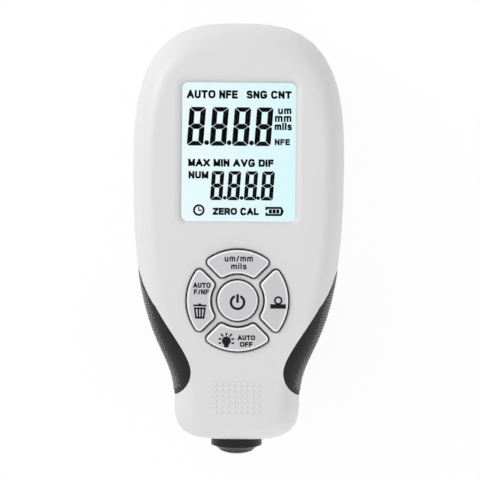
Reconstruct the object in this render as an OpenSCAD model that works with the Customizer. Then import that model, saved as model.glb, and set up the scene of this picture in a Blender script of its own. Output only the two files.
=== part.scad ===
// Handheld coating thickness gauge, lying on its back with the display up.
// X runs across the face, Y along the gauge from the probe to the head, Z up out of the face.
// All lengths are in millimetres.

/* [Body] */
// Length from the tip of the probe to the top of the head
overall_length = 110; // [108:0.5:115]
// Width of the head at its widest line
head_width = 53.8; // [52.6:0.2:57]
// Width of the neck above the probe
neck_width = 31.9; // [31.4:0.1:34]
// Depth from the flat back to the face
body_depth = 27; // [26.5:0.5:30]
// Height of the line where the two shells meet
parting_height = 14; // [13.5:0.25:14.5]
// Distance from the widest line of the head to its top
head_length = 37.7; // [36:0.1:39]
// Distance from the narrowest line of the neck to the tail end
tail_length = 10.9; // [10.3:0.1:12.5]
// Thickness of the shell walls
wall = 2.2; // [2:0.1:2.5]
// How far the rounding draws the face in from the sides
side_rounding = 6.2; // [5.8:0.1:6.6]
// How far the rounding draws the face in from the top of the head
top_rounding = 8.7; // [7.5:0.1:9.5]
// How far the rounding draws the face in from the tail end
tail_rounding = 4.5; // [3.8:0.1:5.2]
// Height over which the front edge is rounded
edge_height = 12; // [11:0.25:12]
// Height over which the back edge is rounded
back_edge_height = 10; // [8.5:0.25:11]
// How far the back rises from the flat towards the probe
neck_lift = 2.5; // [2.3:0.1:3.2]
// Length over which the back rises
lift_length = 10; // [8:0.5:12]

// Depth of the fine groove along the parting line
groove = 0.2; // [0.1:0.05:0.3]

/* [Display] */
// Distance from the sides of the head to the clear opening over the display
window_from_side = 12.8; // [12.5:0.05:13.2]
// Distance from the lip of the display to the ring of keys
window_to_keys = 4.9; // [4.5:0.1:5.2]
// Corner radius of the clear opening
window_corner = 1.4; // [1:0.1:2]
// Width of the rounded lip round the opening
lip_width = 2.1; // [1.6:0.1:2.4]
// Distance from the top of the head to the clear opening
window_from_top = 16.25; // [15.75:0.05:17]
// Thickness of the clear window
lens_thickness = 1.2; // [1:0.1:1.4]
// How far the window reaches under the shell on each side
lens_overlap = 1.4; // [1.2:0.1:1.5]
// Thickness of the window gasket
gasket_thickness = 0.2; // [0.15:0.05:0.3]
// Thickness of the liquid crystal panel
panel_thickness = 2.2; // [2:0.1:2.4]
// Share of the room between the bay and the display that is left free under the board
under_board_share = 0.45; // [0.42:0.01:0.48]
// Wall thickness of the display frame
frame_wall = 1.3; // [1:0.1:1.4]

/* [Keypad] */
// Distance from the tail end to the middle of the keypad
keypad_from_tail = 35.7; // [35.2:0.1:36.7]
// Diameter of the power key
power_key_diameter = 9.9; // [9.5:0.1:10.2]
// Inner diameter of the ring of keys
key_ring_inner = 13.4; // [13.2:0.1:14]
// Outer diameter of the ring of keys
key_ring_outer = 24.9; // [24.5:0.1:25.4]
// Distance between neighbouring keys of the ring
key_spacing = 2; // [1.9:0.05:2.2]
// Corner radius of the ring keys
key_corner = 1; // [0.8:0.05:1.3]
// Gap between a key and its opening
key_gap = 0.32; // [0.26:0.02:0.36]
// Width of the bevel round the key openings
key_bevel = 0.25; // [0.2:0.05:0.3]
// Height of the keys above the face
key_rise = 0.9; // [0.7:0.05:1]
// Radius of the rounded top edge of the keys
key_edge = 0.45; // [0.3:0.05:0.55]
// How far a key sinks when it is pressed
key_travel = 0.5; // [0.4:0.05:0.6]
// Width of the flange that holds a key under the shell
key_flange = 0.5; // [0.4:0.05:0.55]

/* [Dots] */
// Number of dots across
dot_columns = 8; // [6:2:8]
// Number of dots along
dot_rows = 6; // [4:1:6]
// Distance between dots across
dot_pitch_x = 1.52; // [1.3:0.02:1.6]
// Distance between dots along
dot_pitch_y = 1.35; // [1.2:0.05:1.4]
// Diameter of a dot at its foot
dot_diameter = 0.9; // [0.7:0.05:1]
// Height of a dot
dot_height = 0.25; // [0.2:0.05:0.3]
// Distance from the tail end to the middle of the dots
dots_from_tail = 11.8; // [11.4:0.2:12.4]

/* [Grips] */
// Thickness of the grips at the sides
grip_thickness = 1.2; // [1:0.1:1.3]
// How far the grips reach from the sides of the neck onto the face
grip_reach = 4.6; // [4.3:0.1:4.9]
// Distance from the tail end to the upper tips of the grips
grip_top_from_tail = 45.6; // [44:0.2:47]
// Distance from the tail end to the lower tips of the grips
grip_foot_from_tail = 10.6; // [10.2:0.1:11.2]
// Distance from the tail end to where the grips reach furthest onto the face
grip_low_from_tail = 17.9; // [17.2:0.1:18.6]
// Gap round the edge of the grips
grip_gap = 0.12; // [0.1:0.01:0.2]

/* [Probe] */
// How far the probe stands out of the tail at rest
probe_reach = 4.2; // [4:0.1:4.5]
// Diameter of the probe sleeve
probe_diameter = 13; // [12.6:0.1:13.2]
// How far the probe can be pushed in
probe_travel = 2.5; // [2:0.1:2.6]
// Gap between sliding faces of the probe
slide_gap = 0.12; // [0.1:0.01:0.15]
// Diameter of the measuring pole
pole_diameter = 3; // [2.6:0.1:3.4]
// How far the pole stands out of the sleeve
pole_reach = 0.15; // [0.1:0.05:0.25]
// Diameter of the rounded nose of the sleeve
nose_diameter = 8.3; // [7.6:0.1:9]
// Height of the rounded nose
nose_height = 0.75; // [0.5:0.05:0.9]
// Height of the hollow taper between the nose and the sides of the sleeve
taper_height = 1.55; // [1.3:0.05:1.8]
// Wire diameter of the probe spring
spring_wire = 0.8; // [0.6:0.05:0.9]
// Turns of the probe spring
spring_turns = 4; // [3:0.5:4.5]

/* [Battery] */
// Diameter of a cell
cell_diameter = 10.5; // [10:0.1:10.5]
// Length of a cell with its nub
cell_length = 44.5; // [43.5:0.1:44.5]
// Room in the bay for the contacts
contact_room = 6; // [5.6:0.1:6.4]
// Distance from the cap of the probe guide to the battery bay
bay_from_cap = 6; // [5.8:0.1:6.6]
// Thickness of the walls of the bay
bay_wall = 1.4; // [1.2:0.1:1.5]
// Thickness of the battery cover
cover_thickness = 1.6; // [1.4:0.1:1.8]
// How far the cover lies in from the flat back
cover_depth = 0.2; // [0.15:0.05:0.3]
// Gap round the battery cover
cover_gap = 0.25; // [0.2:0.05:0.3]
// Width of the side tongues of the cover
tongue_width = 1; // [0.8:0.1:1.1]

/* [Electronics] */
// Thickness of the circuit board
board_thickness = 1.6; // [1.4:0.1:1.6]
// Side of a push switch
switch_side = 6; // [5.6:0.1:6]
// Height of the body of a push switch
switch_height = 3.5; // [3.2:0.1:3.5]
// Diameter of a switch plunger
plunger_diameter = 3.4; // [3:0.1:3.6]
// Side of the main chip
chip_side = 9; // [8:0.5:10]
// Diameter of the buzzer
buzzer_diameter = 7.6; // [7:0.2:7.6]
// Height of the buzzer
buzzer_height = 3.6; // [3:0.2:4]

/* [Fasteners] */
// Shank diameter of the housing screws
screw_diameter = 2.2; // [2:0.1:2.4]
// Length of the housing screws under the head
screw_length = 12; // [11:0.5:13]
// Depth of the screw heads below the flat back
screw_depth = 5.4; // [5:0.1:5.6]
// Distance of each upper screw from the middle line
upper_screw_x = 15.5; // [14:0.25:16]
// Distance of the upper screws from the top of the head
upper_screw_from_top = 9.75; // [9:0.25:10]
// Distance of each lower screw from the middle line
lower_screw_x = 11.7; // [11.6:0.1:12]
// Distance of the lower screws from the tail end
lower_screw_from_tail = 6.2; // [5.9:0.1:6.6]
// Distance of the upper board screws from the display frame
board_screw_from_frame = 3.15; // [3:0.05:3.3]
// Distance of the lower board screws from the sides of the neck
board_screw_inset = 5.7; // [5.4:0.1:6]
// Shank diameter of the board screws
board_screw_diameter = 1.8; // [1.6:0.1:2]

/* [Hidden] */
$fn = 48;

// Places along the gauge
top_y = overall_length / 2;
tip_y = -overall_length / 2;
tail_y = tip_y + probe_reach;
neck_y = tail_y + tail_length;
head_y = top_y - head_length;
flank_length = head_y - neck_y;
window_width = head_width - 2 * window_from_side;
keypad_y = tail_y + keypad_from_tail;
dots_y = tail_y + dots_from_tail;
window_top_y = top_y - window_from_top;
window_bottom_y = keypad_y + key_ring_outer / 2 + window_to_keys + lip_width;
window_length = window_top_y - window_bottom_y;
window_y = (window_top_y + window_bottom_y) / 2;
grip_top_y = tail_y + grip_top_from_tail;
grip_foot_y = tail_y + grip_foot_from_tail;

// Shape of the outline
tail_squareness = 3.7;
head_squareness = 3;
neck_pull = 0.231;
head_pull = 0.799;
tail_steps = 11;
flank_steps = 14;
head_steps = 15;
edge_steps = 8;
inner_steps = 4;
bore_overrun = 5;

// Heights of the display and key stack, down from the face
face_z = body_depth;
inner_z = face_z - wall;
lens_top = inner_z - gasket_thickness;
panel_gap = 0.3;
panel_top = lens_top - lens_thickness - panel_gap;
light_top = panel_top - panel_thickness;
flange_gap = 0.3;
flange_top = inner_z - flange_gap;
flange_height = 0.9;
key_foot = flange_top - flange_height;

// Probe
probe_z = parting_height;
probe_radius = probe_diameter / 2;
sleeve_end_y = tip_y + pole_reach;
shoulder_y = neck_y - 0.25;
shoulder_height = 2;
shoulder_radius = probe_radius + 0.9;
spring_radius = shoulder_radius - 2 * spring_wire;
guide_radius = shoulder_radius + slide_gap + 1.1;
sleeve_top_y = shoulder_y + shoulder_height;
spring_room = 5.8;
cap_y = sleeve_top_y + spring_room;
cap_height = 2.2;
guide_bottom_y = tail_y + wall + 0.3;
flange_y = shoulder_y - 3.5;
bore_length = guide_bottom_y + 0.2 - tip_y + bore_overrun;
guide_flange = 0.6;
guide_flange_width = 1.9;

// Battery bay and cover
bay_width = 2 * cell_diameter + 1.4;
bay_length = cell_length + contact_room;
bay_bottom_y = cap_y + cap_height + bay_from_cap;
bay_top_y = bay_bottom_y + bay_length;
bay_y = (bay_top_y + bay_bottom_y) / 2;
cover_top_y = bay_top_y + 2.5;
cover_bottom_y = bay_bottom_y - 3.5;
cover_half = bay_width / 2 + 1.4;
cover_top_z = cover_depth + cover_thickness;
grip_clear = 0.9;
grip_back_line = cover_half + tongue_width + cover_gap + grip_clear;
cell_gap = 0.3;
cell_z = cover_top_z + cell_gap + cell_diameter / 2;
cell_x = cell_diameter / 2 + 0.25;
bay_top_z = cell_z + cell_diameter / 2 + 0.2;
stack_room = light_top - bay_top_z - bay_wall - board_thickness;
board_bottom = bay_top_z + bay_wall + under_board_share * stack_room;
board_top = board_bottom + board_thickness;
light_thickness = light_top - board_top;
chip_height = 1.2;
chip_y = bay_top_y + bay_wall + 1;

// Screws
upper_screw_y = top_y - upper_screw_from_top;
lower_screw_y = tail_y + lower_screw_from_tail;
screw_places = [[upper_screw_x, upper_screw_y], [-upper_screw_x, upper_screw_y],
    [lower_screw_x, lower_screw_y], [-lower_screw_x, lower_screw_y]];
board_screw_head = 0.9;
board_screw_hold = 2.5;
head_height = 1.6;
screw_end = screw_depth + head_height + screw_length;
thread_gap = 0.05;

// Places of the ring keys, turned from the one above the power key
units_turn = 0;
mode_turn = 90;
light_turn = 180;
zero_turn = 270;

// A point of a rounded oblong with half axes a and b
function oblong(a, b, power, angle) =
    let (r = pow(pow(abs(cos(angle)) / a, power) + pow(abs(sin(angle)) / b, power), -1 / power))
    [r * cos(angle), r * sin(angle)];

// A point of a cubic curve with four control points
function curve(p, t) =
    pow(1 - t, 3) * p[0] + 3 * pow(1 - t, 2) * t * p[1]
    + 3 * (1 - t) * t * t * p[2] + pow(t, 3) * p[3];

// Right half of the outline from tail to head, drawn in at the sides, the top and the tail
function right_half(side, top, tail) =
    let (
        tail_a = neck_width / 2 - side,
        tail_b = tail_length - tail,
        head_a = head_width / 2 - side,
        head_b = head_length - top,
        flank = [[tail_a, neck_y], [tail_a, neck_y + neck_pull * flank_length],
            [head_a, head_y - head_pull * flank_length], [head_a, head_y]]
    )
    concat(
        [for (i = [0 : tail_steps - 1])
            [0, neck_y] + oblong(tail_a, tail_b, tail_squareness, -90 + 90 * i / tail_steps)],
        [for (i = [0 : flank_steps - 1]) curve(flank, i / flank_steps)],
        [for (i = [0 : head_steps])
            [0, head_y] + oblong(head_a, head_b, head_squareness, 90 * i / head_steps)]
    );

// The whole outline, running counterclockwise from the middle of the tail
function outline(side, top, tail) =
    let (half = right_half(side, top, tail), last = len(half) - 1)
    concat(half, [for (i = [last - 1 : -1 : 1]) [-half[i].x, half[i].y]]);

// Height of the back surface at a place along the gauge
function back_z(y) =
    let (s = min(1, max(0, (cover_bottom_y - y) / lift_length)))
    neck_lift * s * s * (3 - 2 * s);

// Half width of the outline at a place along the gauge
function half_width(y) = lookup(y, [for (p = right_half(0, 0, 0)) [p.y, p.x]]);

// One ring of the front surface, moved inwards; q runs from 0 at the side to 90 at the face
function front_ring(q, inset) =
    let (share = 1 - cos(q), z = face_z - edge_height + (edge_height - inset) * sin(q))
    [for (p = outline(inset + (side_rounding - inset) * share,
            inset + (top_rounding - inset) * share,
            inset + (tail_rounding - inset) * share)) [p.x, p.y, z]];

// One ring of the back surface, moved inwards; q runs from 0 at the side to 90 at the back
function back_ring(q, inset) =
    let (share = 1 - cos(q))
    [for (p = outline(inset + (side_rounding - inset) * share,
            inset + (top_rounding - inset) * share,
            inset + (tail_rounding - inset) * share))
        [p.x, p.y, back_edge_height - (back_edge_height - back_z(p.y) - inset) * sin(q)]];

// A ring drawn in by an amount, at a height from the parting line
function parting_ring(inset, rise) =
    [for (p = outline(inset, inset, inset)) [p.x, p.y, parting_height + rise]];

// End faces of a body of rings, in strips across
function body_cap(m) =
    let (last = m / 2)
    concat([[0, 1, m - 1]],
        [for (i = [1 : last - 2]) [i, i + 1, m - i - 1, m - i]],
        [[last - 1, last, last + 1]]);

// End faces of a key, in strips from its outer to its inner edge
function key_cap_faces(m) =
    [for (i = [0 : m / 2 - 2]) [i, i + 1, m - 2 - i, m - 1 - i]];

// End face of a simple round ring
function plain_cap(m) = [[for (i = [0 : m - 1]) i]];

// A solid through rings of points, closed by the given faces at both ends
module loft(rings, cap) {
    m = len(rings[0]);
    top = (len(rings) - 1) * m;
    points = [for (ring = rings) for (p = ring) p];
    sides = [for (k = [0 : len(rings) - 2]) for (i = [0 : m - 1])
        let (a = k * m + i, b = k * m + (i + 1) % m)
        each [[a, a + m, b + m], [a, b + m, b]]];
    first = cap;
    last = [for (f = cap) [for (j = [len(f) - 1 : -1 : 0]) top + f[j]]];
    polyhedron(points = points, faces = concat(first, sides, last));
}

// The closed body drawn in by an amount, without any opening
module solid_body(inset, steps) {
    m = 2 * (tail_steps + flank_steps + head_steps);
    loft(concat(
        [for (k = [steps : -1 : 0]) back_ring(90 * k / steps, inset)],
        [parting_ring(inset, 0)],
        [for (k = [0 : steps]) front_ring(90 * k / steps, inset)]
    ), body_cap(m));
}

// The two skins, each one surface outside and one inside
module front_skin() {
    m = 2 * (tail_steps + flank_steps + head_steps);
    loft(concat(
        [for (k = [inner_steps : -1 : 0]) front_ring(90 * k / inner_steps, wall)],
        [parting_ring(wall, 0)],
        [parting_ring(groove, 0)],
        [parting_ring(0, 1.5 * groove)],
        [for (k = [0 : edge_steps]) front_ring(90 * k / edge_steps, 0)]
    ), body_cap(m));
}

module rear_skin() {
    m = 2 * (tail_steps + flank_steps + head_steps);
    loft(concat(
        [for (k = [edge_steps : -1 : 0]) back_ring(90 * k / edge_steps, 0)],
        [parting_ring(0, -1.5 * groove)],
        [parting_ring(groove, 0)],
        [parting_ring(wall, 0)],
        [for (k = [0 : inner_steps]) back_ring(90 * k / inner_steps, wall)]
    ), body_cap(m));
}

// Edge of the right grip seen from the front, reaching in to a given line, moved outwards by a gap
function grip_face_edge(reach_line, gap) =
    let (
        side = head_width / 2,
        inner = reach_line + gap,
        foot = neck_width / 2 - grip_reach + gap,
        low = tail_y + grip_low_from_tail,
        upper = [[side - 2.7 + gap, grip_top_y], [side - 2.9 + gap, grip_top_y - 11],
            [inner, low + 6], [inner, low]],
        lower = [[inner, low], [inner, low - 3],
            [foot + 2.1, grip_foot_y + 2 + gap], [foot + 5.8, grip_foot_y + gap]]
    )
    concat(
        [for (i = [0 : 15]) curve(upper, i / 15)],
        [for (i = [1 : 7]) curve(lower, i / 7)],
        [[side + 8, grip_foot_y + gap], [side + 8, grip_top_y + 2]]
    );

// Rounded upper end of the grips, seen from the side, as places along and heights
function grip_side_edge(gap) =
    let (
        tip = grip_top_y - 1.25 - gap,
        half = body_depth / 2 + 1.5,
        upper = [[tip, 0], [tip, 6.5 - gap], [tip - 5.5, 8 - gap], [tip - 15.5, half]],
        rise = [for (i = [0 : 10]) curve(upper, i / 10)]
    )
    concat(
        [for (p = rise) [p.x, parting_height + p.y]],
        [[tail_y - 5, parting_height + half], [tail_y - 5, parting_height - half]],
        [for (i = [10 : -1 : 1]) [rise[i].x, parting_height - rise[i].y]]
    );

module grip_prism(gap) {
    intersection() {
        union() {
            translate([0, 0, parting_height])
                linear_extrude(body_depth)
                    polygon(grip_face_edge(neck_width / 2 - grip_reach, gap));
            translate([0, 0, parting_height - body_depth])
                linear_extrude(body_depth)
                    polygon(grip_face_edge(grip_back_line, gap));
        }
        rotate([90, 0, 90])
            linear_extrude(head_width)
                polygon(grip_side_edge(gap));
    }
}

// The pocket in the shells that takes the right grip
module grip_pocket() {
    difference() {
        grip_prism(0);
        solid_body(grip_thickness, 6);
    }
}

module right_grip_shape() {
    difference() {
        intersection() {
            solid_body(0, edge_steps);
            grip_prism(grip_gap);
        }
        solid_body(grip_thickness, 6);
    }
}

// A rounded rectangle about the window
function window_ring(w, l, r, z) =
    [for (k = [0 : 3]) for (i = [0 : 5])
        let (
            angle = 90 * k + 18 * i,
            cx = (k == 0 || k == 3 ? 1 : -1) * (w / 2 - r),
            cy = (k < 2 ? 1 : -1) * (l / 2 - r)
        )
        [cx + r * cos(angle), window_y + cy + r * sin(angle), z]];

// The opening over the display with its rounded lip
module window_opening() {
    depth = 0.55 * wall;
    steps = 6;
    loft(concat(
        [window_ring(window_width, window_length, window_corner, inner_z - 1)],
        [for (k = [steps : -1 : 0])
            let (out = 2 * lip_width * (1 - sin(90 * k / steps)))
            window_ring(window_width + out, window_length + out, window_corner + out / 2,
                face_z + 0.04 - depth * (1 - cos(90 * k / steps)))],
        [window_ring(window_width + 2 * lip_width + 0.1, window_length + 2 * lip_width + 0.1,
            window_corner + lip_width + 0.05, face_z + 1)]
    ), plain_cap(24));
}

// Outline of the ring key above the power key, grown by an amount; outer edge, then inner edge
function key_outline(grow) =
    let (
        outer = key_ring_outer / 2 + grow,
        inner = key_ring_inner / 2 - grow,
        c = key_corner + grow,
        v = key_spacing / 2 - grow + c,
        uo = sqrt(pow(outer - c, 2) - v * v),
        ui = sqrt(pow(inner + c, 2) - v * v),
        co = [uo - v, uo + v] / sqrt(2),
        ci = [ui - v, ui + v] / sqrt(2),
        ao = atan2(co.y, co.x),
        ai = atan2(ci.y, ci.x),
        right_out = [for (i = [0 : 4]) let (a = -45 + (ao + 45) * i / 4) co + c * [cos(a), sin(a)]],
        arc_out = [for (i = [1 : 9]) let (a = ao + (180 - 2 * ao) * i / 10) outer * [cos(a), sin(a)]],
        right_in = [for (i = [0 : 4]) let (a = 315 + (ai - 135) * i / 4) ci + c * [cos(a), sin(a)]],
        arc_in = [for (i = [1 : 9]) let (a = ai + (180 - 2 * ai) * i / 10) inner * [cos(a), sin(a)]],
        outer_edge = concat(right_out, arc_out,
            [for (i = [4 : -1 : 0]) [-right_out[i].x, right_out[i].y]]),
        inner_edge = concat(right_in, arc_in,
            [for (i = [4 : -1 : 0]) [-right_in[i].x, right_in[i].y]])
    )
    concat(outer_edge, [for (i = [len(inner_edge) - 1 : -1 : 0]) inner_edge[i]]);

function key_ring_at(grow, z) = [for (p = key_outline(grow)) [p.x, p.y, z]];

// A ring key with its flange and rounded top, turned to its place
module ring_key(turn) {
    top = face_z + key_rise;
    translate([0, keypad_y, 0])
        rotate([0, 0, turn])
            loft([
                key_ring_at(key_flange, key_foot),
                key_ring_at(key_flange, flange_top),
                key_ring_at(0, flange_top),
                key_ring_at(0, top - key_edge),
                key_ring_at(-0.293 * key_edge, top - 0.293 * key_edge),
                key_ring_at(-key_edge, top)
            ], key_cap_faces(38));
}

// Openings for the keys, each with a bevelled rim
module key_openings() {
    wide = key_gap + key_bevel;
    power_radius = power_key_diameter / 2;
    translate([0, keypad_y, 0]) {
        for (turn = [units_turn, mode_turn, light_turn, zero_turn])
            rotate([0, 0, turn])
                loft([
                    key_ring_at(key_gap, inner_z - 1),
                    key_ring_at(key_gap, face_z - key_bevel),
                    key_ring_at(wide, face_z),
                    key_ring_at(wide, face_z + 1)
                ], key_cap_faces(38));
        rotate_extrude()
            polygon([[0, inner_z - 1], [power_radius + key_gap, inner_z - 1],
                [power_radius + key_gap, face_z - key_bevel], [power_radius + wide, face_z],
                [power_radius + wide, face_z + 1], [0, face_z + 1]]);
    }
}

// Place of the switch under a ring key
switch_radius = (key_ring_inner + key_ring_outer) / 4;
function switch_place(turn) = [-switch_radius * sin(turn), keypad_y + switch_radius * cos(turn)];

// A cylinder along the gauge, on the axis of the probe
module along(r, y, length) {
    translate([0, y, probe_z])
        rotate([-90, 0, 0])
            cylinder(r = r, h = length);
}

// A turned piece on the axis of the probe, from a profile of radius and place
module turned(profile) {
    translate([0, 0, probe_z])
        rotate([-90, 0, 0])
            rotate_extrude()
                polygon(profile);
}

// Display stack, from the clear window outwards
lens_width = window_width + 2 * lens_overlap;
lens_length = window_length + 2 * lens_overlap;
panel_margin = 0.6;
panel_width = lens_width + panel_margin;
panel_length = lens_length + panel_margin;
panel_fit = 0.1;
frame_half = panel_width / 2 + panel_fit + frame_wall;
ledge = 3;

// Places of the board screws, two beside the display and two beside the keys
upper_board_y = window_bottom_y + 2.25;
lower_board_y = keypad_y - 9.3;
upper_board_x = frame_half + board_screw_from_frame;
lower_board_x = half_width(lower_board_y) - board_screw_inset;
board_screw_places = [[upper_board_x, upper_board_y], [-upper_board_x, upper_board_y],
    [lower_board_x, lower_board_y], [-lower_board_x, lower_board_y]];

// Ribs that hold the probe guide, between two heights
module guide_ribs(low, high) {
    for (y = [flange_y - 1.7, flange_y + 2.1])
        translate([-neck_width / 2, y, low])
            cube([neck_width, 1.5, high - low]);
}

module front_shell() {
    color("gainsboro")
    difference() {
        union() {
            difference() {
                front_skin();
                grip_pocket();
                mirror([1, 0, 0]) grip_pocket();
            }
            intersection() {
                solid_body(wall * 0.6, inner_steps);
                union() {
                    for (p = screw_places)
                        translate([p.x, p.y, parting_height])
                            cylinder(d = screw_diameter + 3, h = face_z - parting_height);
                    for (p = board_screw_places)
                        translate([p.x, p.y, board_top])
                            cylinder(d = board_screw_diameter + 2.8, h = face_z - board_top);
                    guide_ribs(parting_height, face_z);
                }
            }
            thumb_dots();
        }
        window_opening();
        key_openings();
        along(probe_radius + 0.3, tip_y - bore_overrun, bore_length);
        along(guide_radius + 0.05, guide_bottom_y, cap_y + cap_height + 1 - guide_bottom_y);
        for (p = screw_places)
            translate([p.x, p.y, parting_height - 1])
                cylinder(d = screw_diameter + 2 * thread_gap, h = screw_end + 1.4 - parting_height);
        for (p = board_screw_places)
            translate([p.x, p.y, board_top - 1])
                cylinder(d = board_screw_diameter + 2 * thread_gap, h = 5.5);
    }
}

// Field of raised dots on the neck
module thumb_dots() {
    for (i = [0 : dot_columns - 1])
        for (j = [0 : dot_rows - 1])
            translate([(i - (dot_columns - 1) / 2) * dot_pitch_x,
                    dots_y + (j - (dot_rows - 1) / 2) * dot_pitch_y, face_z - 0.2])
                cylinder(d1 = dot_diameter, d2 = dot_diameter * 0.6, h = dot_height + 0.2);
}

// Room for the sliding cover, open towards the probe
module cover_slot() {
    translate([-cover_half - cover_gap, tip_y - bore_overrun, -1])
        cube([2 * cover_half + 2 * cover_gap, cover_top_y + cover_gap - tip_y + bore_overrun,
            1 + cover_top_z + 0.2]);
    translate([-cover_half - tongue_width - cover_gap, tip_y - bore_overrun,
            cover_depth + cover_thickness / 2 - 0.1])
        cube([2 * (cover_half + tongue_width + cover_gap),
            cover_top_y + tongue_width + cover_gap - tip_y + bore_overrun,
            cover_thickness / 2 + 0.3]);
    translate([-cover_half - tongue_width - cover_gap, tip_y - bore_overrun, -1])
        cube([2 * (cover_half + tongue_width + cover_gap),
            cover_bottom_y - tip_y + bore_overrun, 1 + cover_top_z + 0.2]);
}

module rear_shell() {
    rail_half = cover_half + tongue_width + cover_gap + 1.2;
    color("gainsboro")
    difference() {
        union() {
            difference() {
                rear_skin();
                grip_pocket();
                mirror([1, 0, 0]) grip_pocket();
            }
            intersection() {
                solid_body(wall * 0.6, inner_steps);
                union() {
                    translate([-rail_half, cover_bottom_y - 9, 0])
                        cube([2 * rail_half, cover_top_y - cover_bottom_y + 12, cover_top_z + 1.6]);
                    translate([-bay_width / 2 - bay_wall, bay_bottom_y - bay_wall, 0])
                        cube([bay_width + 2 * bay_wall, bay_length + 2 * bay_wall,
                            bay_top_z + bay_wall]);
                    for (p = screw_places)
                        translate([p.x, p.y, 0])
                            cylinder(d = screw_diameter + 4, h = parting_height);
                    guide_ribs(0, parting_height);
                }
            }
        }
        translate([-bay_width / 2, bay_bottom_y, -1])
            cube([bay_width, bay_length, 1 + bay_top_z]);
        cover_slot();
        contact_slots();
        along(probe_radius + 0.3, tip_y - bore_overrun, bore_length);
        along(guide_radius + 0.05, guide_bottom_y, cap_y + cap_height + 1 - guide_bottom_y);
        for (p = screw_places)
            translate([p.x, p.y, -1]) {
                cylinder(d = screw_diameter + 2.4, h = screw_depth + head_height + 1);
                cylinder(d = screw_diameter + 0.4, h = parting_height + 2);
            }
    }
}

module right_grip() {
    color("dimgray")
        right_grip_shape();
}

module left_grip() {
    color("dimgray")
        mirror([1, 0, 0])
            right_grip_shape();
}

// A flat plate with rounded corners about the window
module window_plate(w, l, r, z, h) {
    translate([0, window_y, z])
        linear_extrude(h)
            difference() {
                square([w, l], center = true);
                for (x = [-1, 1])
                    for (y = [-1, 1])
                        translate([x * w / 2, y * l / 2])
                            difference() {
                                square(2 * r, center = true);
                                translate([-x * r, -y * r]) circle(r);
                            }
            }
}

module display_window() {
    color("lightcyan")
        window_plate(lens_width, lens_length, window_corner, lens_top - lens_thickness, lens_thickness);
}

module window_gasket() {
    color("black")
    difference() {
        window_plate(lens_width, lens_length, window_corner, lens_top, gasket_thickness);
        window_plate(window_width + 0.2, window_length + 0.2, window_corner,
            lens_top - 1, gasket_thickness + 2);
    }
}

module lcd_panel() {
    half = panel_thickness / 2;
    color("azure") {
        translate([-panel_width / 2, window_y - panel_length / 2, light_top + half])
            cube([panel_width, panel_length, half]);
        translate([-panel_width / 2, window_y - panel_length / 2 + ledge, light_top])
            cube([panel_width, panel_length - ledge, half]);
    }
}

module light_panel() {
    color("white")
        translate([-panel_width / 2, window_y - panel_length / 2 + ledge, board_top])
            cube([panel_width, panel_length - ledge, light_thickness]);
}

module contact_strip() {
    color("darkslategray")
        translate([-panel_width / 2 + 1, window_y - panel_length / 2 + 0.5, board_top])
            cube([panel_width - 2, ledge - 1, light_thickness + panel_thickness / 2]);
}

// Frame round the display, its corners cut to clear the inside of the front shell
module lcd_frame() {
    frame_length = panel_length + 2 * panel_fit + 2 * frame_wall;
    color("whitesmoke")
        translate([0, window_y, board_top])
            linear_extrude(panel_top - board_top)
                difference() {
                    square([2 * frame_half, frame_length], center = true);
                    square([panel_width + 2 * panel_fit, panel_length + 2 * panel_fit], center = true);
                    for (x = [-1, 1])
                        translate([x * frame_half, frame_length / 2])
                            rotate([0, 0, 45])
                                square([2 * frame_wall, 2 * frame_wall], center = true);
                }
}

module power_key() {
    r = power_key_diameter / 2;
    top = face_z + key_rise;
    color("silver")
        translate([0, keypad_y, 0])
            rotate_extrude()
                difference() {
                    union() {
                        translate([0, key_foot]) square([r + key_flange, flange_height]);
                        translate([0, key_foot]) square([r, top - key_foot]);
                    }
                    translate([r - key_edge, top - key_edge])
                        difference() {
                            square(2 * key_edge);
                            circle(key_edge);
                        }
                }
}

module units_key() {
    color("silver") ring_key(units_turn);
}

module mode_key() {
    color("silver") ring_key(mode_turn);
}

module zero_key() {
    color("silver") ring_key(zero_turn);
}

module light_key() {
    color("silver") ring_key(light_turn);
}

plunger_foot = board_top + switch_height - 1.5;

// The moving stem of a push switch
module plunger(place) {
    color("white")
        translate([place.x, place.y, plunger_foot])
            cylinder(d = plunger_diameter, h = key_foot - plunger_foot);
}

module power_plunger() {
    plunger([0, keypad_y]);
}

module units_plunger() {
    plunger(switch_place(units_turn));
}

module mode_plunger() {
    plunger(switch_place(mode_turn));
}

module zero_plunger() {
    plunger(switch_place(zero_turn));
}

module light_plunger() {
    plunger(switch_place(light_turn));
}

// The five switch bodies, each open at the top for its stem
module switch_bodies() {
    places = [[0, keypad_y], switch_place(units_turn), switch_place(mode_turn),
        switch_place(zero_turn), switch_place(light_turn)];
    color("black")
        for (p = places)
            translate([p.x, p.y, board_top])
                difference() {
                    translate([-switch_side / 2, -switch_side / 2, 0])
                        cube([switch_side, switch_side, switch_height]);
                    translate([0, 0, switch_height - 1.7 - key_travel])
                        cylinder(d = plunger_diameter + 0.3, h = 4);
                }
}

module circuit_board() {
    inset = wall + 1.1;
    color("darkgreen")
        translate([0, 0, board_bottom])
            linear_extrude(board_thickness)
                difference() {
                    intersection() {
                        polygon(outline(inset, inset, inset));
                        translate([-head_width, cap_y + cap_height + 1.6])
                            square([2 * head_width, overall_length]);
                    }
                    for (p = screw_places)
                        translate([p.x, p.y]) circle(d = screw_diameter + 4);
                    for (p = board_screw_places)
                        translate([p.x, p.y]) circle(d = board_screw_diameter + 0.3);
                }
}

module main_chip() {
    color("black")
        translate([-chip_side / 2, chip_y, board_bottom - chip_height])
            cube([chip_side, chip_side, chip_height]);
}

module crystal() {
    color("lightgray")
        translate([chip_side / 2 + 1.2, chip_y + 1, board_bottom - chip_height])
            cube([chip_side / 2, chip_side / 4, chip_height]);
}

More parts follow.
